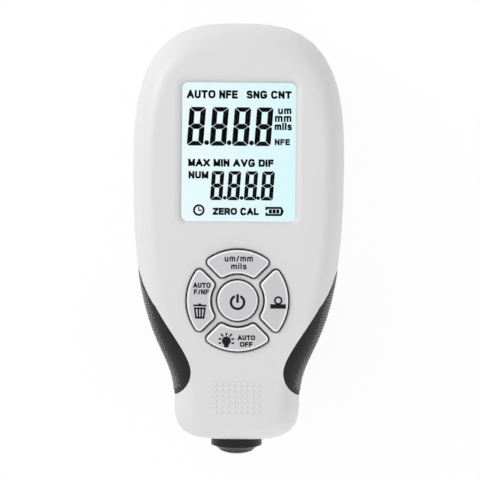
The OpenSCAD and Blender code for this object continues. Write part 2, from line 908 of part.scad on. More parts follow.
module buzzer() {
    color("black")
        translate([0, top_y - 8.4, board_top])
            difference() {
                cylinder(d = buzzer_diameter, h = buzzer_height);
                translate([0, 0, buzzer_height - 0.8]) cylinder(d = 1.6, h = 2);
            }
}

connector_y = cap_y + cap_height + 1.9;
connector_width = 6;
connector_depth = 1.6;
lead_radius = 0.8;

module probe_connector() {
    color("ivory")
        translate([-connector_width / 2, connector_y, probe_z - lead_radius])
            cube([connector_width, connector_depth, board_bottom - probe_z + lead_radius]);
}

module board_screws() {
    color("silver")
        for (p = board_screw_places)
            translate([p.x, p.y, board_bottom - board_screw_head]) {
                cylinder(d = board_screw_diameter * 1.9, h = board_screw_head);
                cylinder(d = board_screw_diameter, h = board_screw_head + board_thickness + board_screw_hold);
            }
}

// Screws that draw the shells together, with a cross recess in each head
module housing_screws() {
    color("silver")
        for (p = screw_places)
            translate([p.x, p.y, screw_depth])
                difference() {
                    union() {
                        cylinder(d = screw_diameter * 1.85, h = head_height);
                        cylinder(d = screw_diameter, h = head_height + screw_length);
                    }
                    for (a = [0, 90])
                        rotate([0, 0, a])
                            translate([-1.1, -0.25, -1])
                                cube([2.2, 0.5, 1.8]);
                }
}

// The cover: an outer plate, an inner plate with tongues, and grooves for the thumb
module battery_cover() {
    half = cover_thickness / 2;
    length = cover_top_y - cover_bottom_y;
    color("gainsboro")
    difference() {
        union() {
            translate([-cover_half, cover_bottom_y, cover_depth])
                cube([2 * cover_half, length, cover_thickness]);
            translate([-cover_half - tongue_width, cover_bottom_y, cover_depth + half])
                cube([2 * (cover_half + tongue_width), length + tongue_width, half]);
        }
        for (i = [0 : 4])
            translate([-6, cover_top_y - 9 + 1.6 * i, cover_depth - 1])
                cube([12, 0.8, 1.4]);
    }
}

// A cell along the gauge with its nub at the end named by the sign
module cell(x, sign) {
    nub = 1;
    r = cell_diameter / 2;
    y0 = sign > 0 ? bay_top_y - 1 - cell_length : bay_bottom_y + 1 + cell_length;
    translate([x, y0, cell_z])
        rotate([-90 * sign, 0, 0])
            rotate_extrude()
                polygon([[0, 0], [r - 0.4, 0], [r, 0.4], [r, cell_length - nub - 0.4],
                    [r - 0.4, cell_length - nub], [1.9, cell_length - nub],
                    [1.9, cell_length], [0, cell_length]]);
}

module left_cell() {
    color("goldenrod") cell(-cell_x, 1);
}

module right_cell() {
    color("goldenrod") cell(cell_x, -1);
}

contact_thickness = 0.4;
contact_side = 8;

// A coil of wire about an axis along the gauge, its radius running from one end to the other
module coil(x, z, y0, y1, r0, r1, wire, turns, sides) {
    steps = ceil(turns * 14);
    loft([for (k = [0 : steps])
        let (
            t = k / steps,
            a = 360 * turns * t,
            r = r0 + (r1 - r0) * t,
            y = y0 + (y1 - y0) * t
        )
        [for (j = [0 : sides - 1])
            let (b = 360 * j / sides, d = r + wire / 2 * cos(b))
            [x + d * cos(a), y + wire / 2 * sin(b), z + d * sin(a)]]
    ], plain_cap(sides));
}

module contact_plate(x, y, width) {
    translate([x - width / 2, y, cell_z - contact_side / 2])
        cube([width, contact_thickness, contact_side]);
}

// Solder tab from a contact plate up through the bay to the board
module contact_tab(x, y) {
    translate([x - 1, y, cell_z])
        cube([2, contact_thickness, board_bottom - cell_z]);
}

module contact_slots() {
    for (x = [-cell_x, cell_x])
        translate([x - 1.2, bay_top_y - contact_thickness - 0.2, bay_top_z - 1])
            cube([2.4, contact_thickness + 0.4, bay_wall + 2]);
}

module bridge_contact() {
    color("lightsteelblue") {
        contact_plate(0, bay_bottom_y, 2 * cell_x + contact_side);
        coil(-cell_x, cell_z, bay_bottom_y + contact_thickness + 0.2,
            bay_top_y - 1.35 - cell_length, 3.2, 2.2, 0.6, 3.5, 6);
        translate([cell_x, bay_bottom_y, cell_z])
            rotate([-90, 0, 0]) cylinder(r = 1.6, h = 1);
    }
}

module positive_contact() {
    y = bay_top_y - contact_thickness;
    color("lightsteelblue") {
        contact_plate(-cell_x, y, contact_side);
        contact_tab(-cell_x, y);
        translate([-cell_x, bay_top_y - 1, cell_z])
            rotate([-90, 0, 0]) cylinder(r = 1.6, h = 1);
    }
}

module negative_contact() {
    y = bay_top_y - contact_thickness;
    color("lightsteelblue") {
        contact_plate(cell_x, y, contact_side);
        contact_tab(cell_x, y);
        coil(cell_x, cell_z, bay_bottom_y + 1.35 + cell_length, y - 0.2, 2.2, 3.2, 0.6, 3.5, 6);
    }
}

// Tube in which the probe slides, with a flange held between the ribs of the shells
module probe_guide() {
    bore = probe_radius + slide_gap;
    wide = shoulder_radius + slide_gap;
    color("dimgray")
    union() {
        turned([[bore, guide_bottom_y], [guide_radius, guide_bottom_y],
            [guide_radius, flange_y], [guide_radius + guide_flange, flange_y],
            [guide_radius + guide_flange, flange_y + guide_flange_width],
            [guide_radius, flange_y + guide_flange_width], [guide_radius, cap_y],
            [wide, cap_y], [wide, shoulder_y - slide_gap], [bore, shoulder_y - slide_gap]]);
    }
}

module probe_cap() {
    wide = shoulder_radius + slide_gap;
    color("dimgray")
        turned([[2.6, cap_y - 1], [wide - 0.1, cap_y - 1], [wide - 0.1, cap_y],
            [guide_radius, cap_y], [guide_radius, cap_y + cap_height - 1], [2.6, cap_y + cap_height - 1]]);
}

module probe_spring() {
    color("silver")
        coil(0, probe_z, sleeve_top_y + spring_wire / 2 + 0.05, cap_y - 1 - spring_wire / 2 - 0.05,
            spring_radius, spring_radius, spring_wire, spring_turns, 6);
}

bobbin_radius = probe_radius - 1.6;
bobbin_bottom = sleeve_end_y + nose_height + taper_height + 0.8;
bobbin_top = shoulder_y - 0.5;
pole_fit = 0.04;
bobbin_wall = 0.9;
bobbin_flange = 0.8;
coil_inset = 0.5;

// Sprung outer sleeve: a rounded nose round the pole, a hollow taper, straight sides and a shoulder
module probe_sleeve() {
    nose = nose_diameter / 2;
    bore = pole_diameter / 2 + pole_fit;
    edge_y = sleeve_end_y + nose_height;
    drop = nose_height / (nose * nose - bore * bore);
    wide = probe_radius - nose;
    taper = [[nose, edge_y], [nose + 0.2 * wide, edge_y + 0.35 * taper_height],
        [nose + 0.6 * wide, edge_y + 0.9 * taper_height], [probe_radius, edge_y + taper_height]];
    color("black")
        turned(concat(
            [for (i = [0 : 4])
                let (r = bore + (nose - bore) * i / 4)
                [r, sleeve_end_y + drop * (r * r - bore * bore)]],
            [for (i = [1 : 6]) curve(taper, i / 6)],
            [[probe_radius, shoulder_y], [shoulder_radius, shoulder_y],
                [shoulder_radius, sleeve_top_y], [bobbin_radius + 0.05, sleeve_top_y],
                [bobbin_radius + 0.05, bobbin_bottom], [bore, bobbin_bottom]]
        ));
}

module probe_bobbin() {
    hub = pole_diameter / 2 + bobbin_wall;
    color("ivory")
        turned([[pole_diameter / 2 + pole_fit, bobbin_bottom], [bobbin_radius, bobbin_bottom],
            [bobbin_radius, bobbin_bottom + bobbin_flange], [hub, bobbin_bottom + bobbin_flange],
            [hub, bobbin_top - bobbin_flange], [bobbin_radius, bobbin_top - bobbin_flange],
            [bobbin_radius, bobbin_top], [pole_diameter / 2 + pole_fit, bobbin_top]]);
}

module probe_coil() {
    hub = pole_diameter / 2 + bobbin_wall;
    color("chocolate")
        turned([[hub, bobbin_bottom + bobbin_flange],
            [bobbin_radius - coil_inset, bobbin_bottom + bobbin_flange],
            [bobbin_radius - coil_inset, bobbin_top - bobbin_flange],
            [hub, bobbin_top - bobbin_flange]]);
}

// Steel pole with a rounded tip
module probe_pole() {
    r = pole_diameter / 2;
    color("silver")
        translate([0, 0, probe_z])
            rotate([-90, 0, 0])
                rotate_extrude()
                    union() {
                        intersection() {
                            translate([0, tip_y + 2 * r]) circle(2 * r);
                            translate([0, tip_y]) square([r, 2 * r]);
                        }
                        translate([0, tip_y + 1.5 * r]) square([r, bobbin_top - tip_y - 1.5 * r]);
                    }
}

module probe_plug() {
    color("dimgray")
        turned([[2, bobbin_top], [bobbin_radius, bobbin_top],
            [bobbin_radius, sleeve_top_y - 0.4], [2, sleeve_top_y - 0.4]]);
}

// Screened lead from the coil through the cap to the board, with a little slack
module probe_lead() {
    steps = 16;
    y0 = bobbin_top + 0.3;
    y1 = connector_y;
    color("gray")
        loft([for (k = [0 : steps])
            let (t = k / steps, sway = 0.9 * lead_radius * sin(360 * t) * sin(180 * t))
            [for (j = [0 : 7])
                let (b = 45 * j)
                [sway + lead_radius * cos(b), y0 + (y1 - y0) * t, probe_z - lead_radius * sin(b)]]
        ], plain_cap(8));
}

front_shell();
rear_shell();
left_grip();
right_grip();
display_window();
window_gasket();
lcd_panel();
lcd_frame();
light_panel();
contact_strip();
power_key();
units_key();
mode_key();
zero_key();
light_key();
power_plunger();
units_plunger();
mode_plunger();
zero_plunger();
light_plunger();
switch_bodies();
circuit_board();
main_chip();
crystal();
buzzer();
probe_connector();
board_screws();
housing_screws();
battery_cover();
left_cell();
right_cell();
bridge_contact();
positive_contact();
negative_contact();
probe_guide();
probe_cap();
probe_spring();
probe_sleeve();
probe_bobbin();
probe_coil();
probe_pole();
probe_plug();
probe_lead();
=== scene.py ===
"""Looks of a handheld coating thickness gauge that lies on its back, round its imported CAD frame."""

import bpy
import numpy as np
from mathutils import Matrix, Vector


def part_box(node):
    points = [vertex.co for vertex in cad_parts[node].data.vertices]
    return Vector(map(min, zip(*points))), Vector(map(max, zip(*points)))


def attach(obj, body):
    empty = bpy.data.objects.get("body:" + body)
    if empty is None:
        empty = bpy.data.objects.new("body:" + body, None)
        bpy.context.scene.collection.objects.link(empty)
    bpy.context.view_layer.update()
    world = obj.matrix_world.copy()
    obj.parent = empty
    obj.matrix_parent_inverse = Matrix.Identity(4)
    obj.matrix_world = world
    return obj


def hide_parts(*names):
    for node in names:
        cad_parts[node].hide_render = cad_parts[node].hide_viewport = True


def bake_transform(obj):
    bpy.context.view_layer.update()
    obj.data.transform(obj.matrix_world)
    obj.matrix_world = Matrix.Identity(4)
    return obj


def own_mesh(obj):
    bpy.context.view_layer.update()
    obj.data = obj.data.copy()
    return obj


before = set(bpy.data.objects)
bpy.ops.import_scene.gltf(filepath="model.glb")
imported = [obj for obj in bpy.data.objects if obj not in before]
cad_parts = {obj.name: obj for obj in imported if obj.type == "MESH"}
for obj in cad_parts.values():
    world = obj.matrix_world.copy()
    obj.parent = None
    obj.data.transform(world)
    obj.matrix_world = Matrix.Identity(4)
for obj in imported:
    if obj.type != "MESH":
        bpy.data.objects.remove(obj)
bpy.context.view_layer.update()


# Front and rear shells
# The two halves of the housing, injection moulded in pale grey ABS with a fine spark-eroded grain.
# They meet on a parting line half way up and are drawn together by four screws from behind.


def linear(colour):
    """An sRGB hex colour as linear red, green, blue and alpha: each channel over 255, then the
    power of the sRGB curve, or its straight foot in the darkest tones."""
    share = np.array([int(colour[i:i + 2], 16) for i in (0, 2, 4)]) / 255
    bent = np.where(share > 0.04045, ((share + 0.055) / 1.055) ** 2.4, share / 12.92)
    return (*bent.tolist(), 1.0)


def add(material, kind, values=(), links=(), **settings):
    """Adds a node of a kind, with its settings, input values and the sockets that feed it."""
    node = material.node_tree.nodes.new("ShaderNode" + kind)
    for name, value in settings.items():
        setattr(node, name, value)
    for name, value in dict(values).items():
        node.inputs[name].default_value = value
    for name, socket in dict(links).items():
        material.node_tree.links.new(socket, node.inputs[name])
    return node


def finish(name, roughness, ior=1.5, **values):
    """A new material and its Principled shader, with plain numbers on the shader's own sockets."""
    material = bpy.data.materials.new(name)
    material.use_nodes = True
    shader = material.node_tree.nodes["Principled BSDF"]
    shader.inputs["Roughness"].default_value = roughness
    shader.inputs["IOR"].default_value = ior
    for socket, value in values.items():
        shader.inputs[socket.replace("_", " ")].default_value = value
    return material, shader


def mottle(material, shader, size, dark, light, relief=0.0):
    """Colour and relief from one noise: its value runs from the dark to the light tone, and lifts
    the surface by up to the relief. The noise's scale is one over the size of a grain in metres."""
    place = add(material, "TexCoord")
    grain = add(material, "TexNoise", {"Scale": 1 / size, "Detail": 3.0},
                {"Vector": place.outputs["Object"]})
    tone = add(material, "ValToRGB", (), {"Fac": grain.outputs["Fac"]})
    for stop, position, colour in zip(tone.color_ramp.elements, (0.3, 0.7), (dark, light)):
        stop.position, stop.color = position, linear(colour)
    material.node_tree.links.new(tone.outputs["Color"], shader.inputs["Base Color"])
    if relief:
        lift = add(material, "Bump", {"Strength": 1.0, "Distance": relief},
                   {"Height": grain.outputs["Fac"]})
        material.node_tree.links.new(lift.outputs["Normal"], shader.inputs["Normal"])
    return place


def put(name, data):
    """A new object in the scene, at the origin, with the given mesh, lamp or camera."""
    thing = bpy.data.objects.new(name, data)
    bpy.context.scene.collection.objects.link(thing)
    return thing


def triangles(node):
    """The triangles of a CAD node, as an array of triangle, corner and axis."""
    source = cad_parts[node].data
    places = np.empty(3 * len(source.vertices), np.float32)
    source.vertices.foreach_get("co", places)
    corners = np.empty(len(source.loops), np.int32)
    source.loops.foreach_get("vertex_index", corners)
    return places.reshape(-1, 3)[corners].reshape(-1, 3, 3).astype(float)


def merged(node, sharp):
    """A copy of a CAD node with one vertex for each place: equal rows of the rounded coordinates
    become one. Edges sharper than an angle in degrees stay sharp, and the rest shades smoothly,
    weighted by the area of the faces."""
    places = triangles(node).reshape(-1, 3)
    _, first, at = np.unique(np.round(places, 6), axis=0, return_index=True, return_inverse=True)
    faces = at.reshape(-1, 3)
    whole = (faces != np.roll(faces, 1, axis=1)).all(axis=1)
    mesh = bpy.data.meshes.new(node + "_smooth")
    mesh.from_pydata(places[first].tolist(), [], faces[whole].tolist())
    mesh.shade_smooth()
    mesh.set_sharp_from_angle(angle=np.radians(sharp))
    piece = put(node + "_smooth", mesh)
    weights = piece.modifiers.new("weights", "WEIGHTED_NORMAL")
    weights.keep_sharp = True
    return piece


def dress(nodes, body, material, sharp=30):
    """Stands a smooth copy in for each CAD node, with its material, on the node's own body."""
    pieces = [merged(node, sharp) for node in nodes]
    for piece, node in zip(pieces, nodes):
        piece.data.materials.append(material)
        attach(piece, body)
        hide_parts(node)
    return pieces


def of_faces(piece, quality):
    """The middles or the normals of a piece's faces, as rows of x, y and z."""
    numbers = np.empty(3 * len(piece.data.polygons), np.float32)
    piece.data.polygons.foreach_get(quality, numbers)
    return numbers.reshape(-1, 3)


# Moulded ABS: an even, slightly soft sheen, with a grain that only shows close up.
# The grain is drawn at 0.4 mm, coarser than the real one, so that it shows at all.
abs_grain = 0.0004
shell_abs, shell_shader = finish("moulded_abs_pale_grey", 0.42, 1.53)
mottle(shell_abs, shell_shader, abs_grain, "D5D5D6", "D8D8D9", 0.000004)
front_piece, _ = dress(["front_shell", "rear_shell"], "housing", shell_abs, 32)

# The raised dots on the neck are painted a paler grey, a painted highlight where they catch the
# light.
# They are the only faces of the front shell that stand above its crown at 27 mm.
over_crown = 0.02703
dot_painted_highlight, dot_highlight_shader = finish("abs_dots_painted_highlight", 0.3, 1.53)
mottle(dot_painted_highlight, dot_highlight_shader, abs_grain, "DCDCDD", "DFDFE0")
front_piece.data.materials.append(dot_painted_highlight)
dots_painted_highlight_mask = of_faces(front_piece, "center")[:, 2] > over_crown
front_piece.data.polygons.foreach_set("material_index", dots_painted_highlight_mask.astype(np.int32))


# Side grips
# Two soft pads of black thermoplastic rubber, moulded into pockets round the sides of the neck.
# They are smooth towards the face and finely knurled on the flanks where the fingers hold.
rubber_grain = 0.0006
rubber, rubber_shader = finish("moulded_black_rubber", 0.6, 1.42)
mottle(rubber, rubber_shader, rubber_grain, "0A0A0C", "101012", 0.000006)
dress(["left_grip", "right_grip"], "housing", rubber, 38)


def outermost(faces, places, side):
    """Points of a surface, and its normals, over places in the plane of y and z. The weights of a
    triangle's corners at a place are the areas of the part triangles there over the whole one. Of
    the triangles where no weight is negative, the one that lies furthest out to the side counts.
    Where there is none, the normal is zero."""
    across = np.cross(faces[:, 1] - faces[:, 0], faces[:, 2] - faces[:, 0])
    outward = side * across[:, 0] > 0
    faces, across = faces[outward], across[outward]
    arms = [np.moveaxis(faces[:, k, 1:] - places[:, None], -1, 0) for k in range(3)]
    areas = np.stack([arms[k - 2][0] * arms[k - 1][1] - arms[k - 2][1] * arms[k - 1][0]
                      for k in range(3)])
    reach = (areas * faces[:, :, 0].T[:, None]).sum(0) / areas.sum(0)
    reach = np.where((side * areas >= 0).all(0), side * reach, -np.inf)
    best, far = reach.argmax(1), reach.max(1)
    hit = np.isfinite(far)
    normals = across[best] / np.linalg.norm(across[best], axis=1)[:, None] * hit[:, None]
    return np.column_stack([side * np.where(hit, far, 0), places]), normals


def knurl(node, side, pitch, height):
    """Low pyramids on the flank of a grip, in a diagonal net seen from the side. Each tip stands
    over its middle along the normal, and its four corners lie just under the surface. The pyramids
    grow lower where the surface turns to the front or the back, by the share of x in its normal,
    and end there, or near the edge of the grip."""
    half, sunk = 0.41 * pitch, 0.00003
    flattest, steepest, lowest = 0.73, 0.94, 0.15
    low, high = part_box(node)
    rows, columns = int((high[2] - low[2]) / pitch * 2) + 1, int((high[1] - low[1]) / pitch) + 1
    row, column = np.indices((rows, columns))
    middles = np.stack([low[1] + (column + row % 2 / 2) * pitch, low[2] + row * pitch / 2], -1)
    middles = middles.reshape(-1, 2)
    corners = half * np.array([(0, 0), (1, 0), (0, 1), (-1, 0), (0, -1)])
    spots = (*corners, *2 * corners[1:])
    found = [outermost(triangles(node), middles + spot, side) for spot in spots]
    places, normals = (np.array(part) for part in zip(*found))
    kept = (side * normals[..., 0] >= flattest).all(0)
    places, normals = places[:5, kept], normals[:5, kept]
    shares = np.zeros(normals.shape[:2])
    turned = (side * normals[0, :, 0] - flattest) / (steepest - flattest)
    shares[0] = np.clip(turned, lowest, 1)
    lifts = np.where(shares > 0, shares * height, -sunk)
    points = (places + lifts[..., None] * normals).transpose(1, 0, 2).reshape(-1, 3)
    ring = [1, 2, 3, 4][::side]
    first = np.arange(0, len(points), 5)[:, None]
    slopes = [(first + (ring[k - 1], ring[k], 0)).tolist() for k in range(4)]
    mesh = bpy.data.meshes.new(node + "_knurl")
    mesh.from_pydata(points.tolist(), [], [*sum(slopes, []), *(first + ring[::-1]).tolist()])
    tips = mesh.attributes.new("tip", "FLOAT", "POINT")
    tips.data.foreach_set("value", shares.T.reshape(-1).astype(np.float32))
    return mesh


# The tips of the pyramids are painted paler, a painted highlight where the knurl catches the light,
# by the share of the way up to the tip.
knurl_pitch, knurl_height = 0.0014, 0.00028
knurl_painted_highlight, knurl_highlight_shader = finish("black_rubber_knurl_painted_highlight", 0.45, 1.45)
mottle(knurl_painted_highlight, knurl_highlight_shader, rubber_grain, "0C0C0E", "141416")
way_up = add(knurl_painted_highlight, "Attribute", attribute_name="tip")
foot_tone = knurl_highlight_shader.inputs["Base Color"].links[0].from_socket
tip_painted_highlight = add(knurl_painted_highlight, "MixRGB", {"Color2": linear("ACACAE")},
             {"Fac": way_up.outputs["Fac"], "Color1": foot_tone})
knurl_painted_highlight.node_tree.links.new(tip_painted_highlight.outputs["Color"], knurl_highlight_shader.inputs["Base Color"])
for node, side in (("left_grip", -1), ("right_grip", 1)):
    knurl_mesh = knurl(node, side, knurl_pitch, knurl_height)
    knurl_mesh.materials.append(knurl_painted_highlight)
    knurl_piece = put(node + "_knurl", knurl_mesh)
    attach(knurl_piece, "housing")


# Clear window and its gasket
# A plate of clear cast acrylic, held under the rim of the opening on a thin ring of dark foam.
# Its anti-glare coat gives back very little light, so its index of refraction is written low.
acrylic, acrylic_shader = finish("clear_coated_acrylic", 0.02, 1.15, Transmission_Weight=1.0)
mottle(acrylic, acrylic_shader, 0.004, "FCFEFE", "FFFFFF")
dress(["display_window"], "housing", acrylic)

# Closed-cell foam: dull and nearly black, with cells of 0.3 mm.
foam, foam_shader = finish("dark_closed_cell_foam", 0.9)
mottle(foam, foam_shader, 0.0003, "1E1E20", "2A2A2C", 0.00001)
dress(["window_gasket"], "housing", foam)


# Liquid crystal display
# A glass cell with its light on, so that it glows pale blue and its marks stand out black.
# It stands in a white frame over the light panel, and a strip of rubber joins it to the board.
# The glow cools from left to right and drifts a little from place to place.
glow_half, drift_size = 0.0145, 0.012
cell_glass, cell_shader = finish("lit_liquid_crystal_glass", 0.3, 1.5, Emission_Strength=1.0,
                                 Specular_IOR_Level=0.1)
cell_shader.inputs["Base Color"].default_value = linear("101314")
cell_place = add(cell_glass, "TexCoord")
cell_axes = add(cell_glass, "SeparateXYZ", (), {"Vector": cell_place.outputs["Object"]})
across = add(cell_glass, "MapRange", {"From Min": -glow_half, "From Max": glow_half},
             {"Value": cell_axes.outputs["X"]})
glow = add(cell_glass, "ValToRGB", (), {"Fac": across.outputs["Result"]})
glow.color_ramp.elements[0].color = linear("EFFAFE")
glow.color_ramp.elements[1].color = linear("D8F7FC")
drift = add(cell_glass, "TexNoise", {"Scale": 1 / drift_size, "Detail": 1.0},
            {"Vector": cell_place.outputs["Object"]})
drift_share = add(cell_glass, "MapRange", {"To Max": 0.5}, {"Value": drift.outputs["Fac"]})
cool = add(cell_glass, "MixRGB", {"Color2": linear("E0FAF8")},
           {"Fac": drift_share.outputs["Result"], "Color1": glow.outputs["Color"]})
cell_glass.node_tree.links.new(cool.outputs["Color"], cell_shader.inputs["Emission Color"])
dress(["lcd_panel"], "housing", cell_glass)

# White moulded plastic: a plain satin white that sends the light of the panel back.
white_abs, white_shader = finish("white_moulded_plastic", 0.5)
mottle(white_abs, white_shader, 0.0005, "EDEDEA", "F3F3F1", 0.000004)
dress(["lcd_frame", "light_panel"], "housing", white_abs)
dress(["contact_strip"], "housing", foam)


# Marks of the display
# Dark segments and words that the liquid crystal shows: two rows of digits, units and small signs.
# They lie in one plane just over the glass cell, as a film with hardly any thickness.


def strokes(path, width):
    """A band of even width along a path: each point moves half the width to both sides, along the
    sum of the normals of its two segments over one plus their product, so that corners stay sharp.
    A path that ends where it starts gives a closed ring."""
    path = np.asarray(path, float)
    closed = np.allclose(path[0], path[-1])
    step = np.diff(path, axis=0)
    normal = np.stack([-step[:, 1], step[:, 0]], 1) / np.linalg.norm(step, axis=1)[:, None]
    before = np.vstack([normal[-1:] if closed else normal[:1], normal])
    after = np.vstack([normal, normal[:1] if closed else normal[-1:]])
    spread = np.maximum(1 + (before * after).sum(1), 0.5)[:, None]
    move = (before + after) / spread * width / 2
    count = len(path) - closed
    points = np.concatenate([(path - move)[:count], (path + move)[:count]])
    here = np.arange(len(step))
    there = (here + 1) % count
    return points, np.stack([here, there, count + there, count + here], 1).tolist()


def patch(*corners):
    """One flat convex face with the given corners, counterclockwise."""
    return np.array(corners, float), [list(range(len(corners)))]


def arc(x, y, radius, start, end, steps=40):
    """Points of a circle between angles in degrees: centre plus radius times cosine and sine."""
    angle = np.radians(np.linspace(start, end, steps))
    return np.stack([x + radius * np.cos(angle), y + radius * np.sin(angle)], 1)


def discs(centres, radius):
    """Round faces of 24 corners: each centre plus the points of one circle."""
    corners = 24
    ring = arc(0, 0, radius, 0, 360 - 360 / corners, corners)
    points = (np.array(centres, float)[:, None] + ring[None]).reshape(-1, 2)
    return points, np.arange(len(points)).reshape(-1, corners).tolist()


def digits(lefts, low, width, height, upright, level, gap, lean):
    """Seven-stroke digits: the top stroke and the upper left one are mirrored across and up and
    down, leaned by a share of the height, and set at each left edge. Upright and level are the
    widths of the strokes, whose slanted ends stay a gap apart."""
    soft, middle, tip, half = 0.3 * upright, height / 2, 0.3 * upright, 0.6 * level
    inner, outer = upright + gap, width - upright - gap
    top = np.array([(soft + gap, height), (width - soft - gap, height),
                    (width - soft / 2 - gap, height - soft / 2), (outer, height - level),
                    (inner, height - level), (soft / 2 + gap, height - soft / 2)])
    foot = middle + gap * 0.8
    side = np.array([(0, height - soft - gap), (soft / 2, height - soft / 2 - gap),
                     (upright, height - level - gap), (upright, foot + half),
                     (tip, foot), (0, foot + tip * 0.6)])
    bar = np.array([(tip + gap, middle), (inner, middle + half), (outer, middle + half),
                    (width - tip - gap, middle), (outer, middle - half), (inner, middle - half)])
    over, back = np.array([1, -1.0]), np.array([-1.0, 1])
    figure = np.stack([
        top, (top * over + (0, height))[::-1], side, (side * back + (width, 0))[::-1],
        (side * over + (0, height))[::-1], side * over * back + (width, height), bar])[:, ::-1]
    figure[..., 0] += lean * figure[..., 1] / height
    points = figure[None] + np.stack([lefts, np.full(len(lefts), low)], 1)[:, None, None]
    return points.reshape(-1, 2), np.arange(points.size // 2).reshape(-1, 6).tolist()


# Letters as a width, in tenths of a capital's height, and paths in tenths of that width and height.
# A path that starts with a tilde or a caret is rounded, and after a caret its ends don't run on.
LETTERS = {
    "A": (8.2, "0,0 5,10 10,0", "2,3.1 8,3.1"),
    "C": (7.4, "^10,7.6 8.8,10.6 0,10.8 0,-0.8 8.8,-0.6 10,2.6"),
    "D": (6.8, "0,0 0,10", "~0,10 6,10 10.4,9.6 10.4,0.4 6,0 0,0"),
    "E": (5.8, "10,10 0,10 0,0 10,0", "0,5.2 9,5.2"),
    "F": (5.4, "10,10 0,10 0,0", "0,5 9,5"),
    "G": (7.6, "^9.8,7.6 8.8,10.6 0,10.8 0,-0.8 8,-0.6 10,1.6", "6.6,4.2 10,4.2", "10,3 10,2"),
    "I": (0, "0,0 0,10"),
    "L": (5.2, "0,10 0,0 10,0"),
    "M": (7.6, "0,0 0,10 5,1 10,10 10,0"),
    "N": (6.2, "0,0 0,10 10,0 10,10"),
    "O": (8.2, "~5,10 0,10 0,0 10,0 10,10 5,10"),
    "R": (6.8, "0,0 0,10", "~0,10 6,10 10,10 10,4.6 6,4.6 0,4.6", "5.4,4.6 10,0"),
    "S": (6.4, "^9.6,7.7 9,10.4 0.4,10.8 0,6 5,5.1 10.4,4.2 9.8,-0.7 0.8,-0.5 0.2,2.5"),
    "T": (6.6, "0,10 10,10", "5,10 5,0"),
    "U": (6.4, "~0,10 0,6 0,0 10,0 10,6 10,10"),
    "V": (7.8, "0,10 5,0 10,10"),
    "X": (7.4, "0,0 10,10", "0,10 10,0"),
    "Z": (6.2, "0,10 10,10 0,0 10,0"),
    "i": (0, "0,0 0,6.4", "0,9.9 0,10"),
    "l": (0, "0,0 0,10"),
    "m": (8.4, "0,0 0,6.6", "~0,4.4 0.6,6.8 5,7.2 5,4 5,0", "~5,4.4 5.6,6.8 10,7.2 10,4 10,0"),
    "s": (4.8, "^9.6,5.2 8.8,7 0.2,7.2 0.2,4 5,3.4 10.2,2.9 9.8,-0.6 0.4,-0.4 0.2,1.6"),
    "u": (4.8, "~0,6.6 0,3 0.4,-0.4 7,-0.6 10,2", "10,6.6 10,0"),
    "/": (3, "0,0 10,8.6"),
    " ": (0.6,),
}


def rounded(path):
    """A bent path: three times over, each segment keeps its points at a quarter and three quarters,
    and the path keeps its ends."""
    for _ in range(3):
        near = 0.75 * path[:-1] + 0.25 * path[1:]
        far = 0.25 * path[:-1] + 0.75 * path[1:]
        inner = np.stack([near, far], 1).reshape(-1, 2)
        path = np.concatenate([path[:1], inner[1:-1], path[-1:]])
    return path


def join(shapes):
    """Several flat shapes as one: their points one after the other, and their faces counted on."""
    counts = np.cumsum([0] + [len(points) for points, _ in shapes])
    faces = [[corner + first for corner in face]
             for first, (_, shape) in zip(counts, shapes) for face in shape]
    return np.concatenate([points for points, _ in shapes]), faces


def word(text, left, right, low, high, weight):
    """A word in strokes of one weight: its letters stand side by side, and the lines down the
    middles of the strokes are stretched to fill a box, less half the weight on each side. Each
    stroke then runs on by that half, unless it is a ring or marked otherwise."""
    place, spacing, lines = 0.0, 4.4, []
    for letter in text:
        width, *paths = LETTERS[letter]
        for path in paths:
            line = np.array(path.strip("~^").replace(",", " ").split(), float).reshape(-1, 2)
            pieces = [rounded(line)] if path[0] in "~^" else np.stack([line[:-1], line[1:]], 1)
            lines += [(piece * (width / 10, 1) + (place, 0), path[0] != "^") for piece in pieces]
        place += width + spacing
    every = np.concatenate([line for line, _ in lines])
    share = np.array([right - left - weight, high - low - weight]) / np.ptp(every, axis=0)
    shapes = []
    for line, runs_on in lines:
        line = (line - every.min(0)) * share + np.array([left, low]) + weight / 2
        if runs_on and not np.allclose(line[0], line[-1]):
            ends = np.array([line[0] - line[1], line[-1] - line[-2]])
            line[[0, -1]] += ends / np.linalg.norm(ends, axis=1)[:, None] * weight / 2
        shapes.append(strokes(line, weight))
    return join(shapes)


def print_on(name, shapes, place, body, material):
    """Lays flat shapes, given in millimetres from a place, in the plane of that place, as one film
    on a body. The film's top lies in that plane, and its foot reaches into what carries it."""
    millimetre, thickness = 0.001, 0.00003
    points, faces = join(shapes)
    points = np.column_stack([points, np.zeros(len(points))]) * millimetre + place
    mesh = bpy.data.meshes.new(name)
    mesh.from_pydata(points.tolist(), [], faces)
    mesh.materials.append(material)
    piece = put(name, mesh)
    film = piece.modifiers.new("film", "SOLIDIFY")
    film.thickness, film.offset = thickness, -1
    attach(piece, body)


# Twisted liquid crystal between crossed polarisers: nearly black, with a trace of blue.
crystal_dark, crystal_shader = finish("dark_liquid_crystal", 0.5, Specular_IOR_Level=0.0)
mottle(crystal_dark, crystal_shader, 0.002, "030405", "050709")

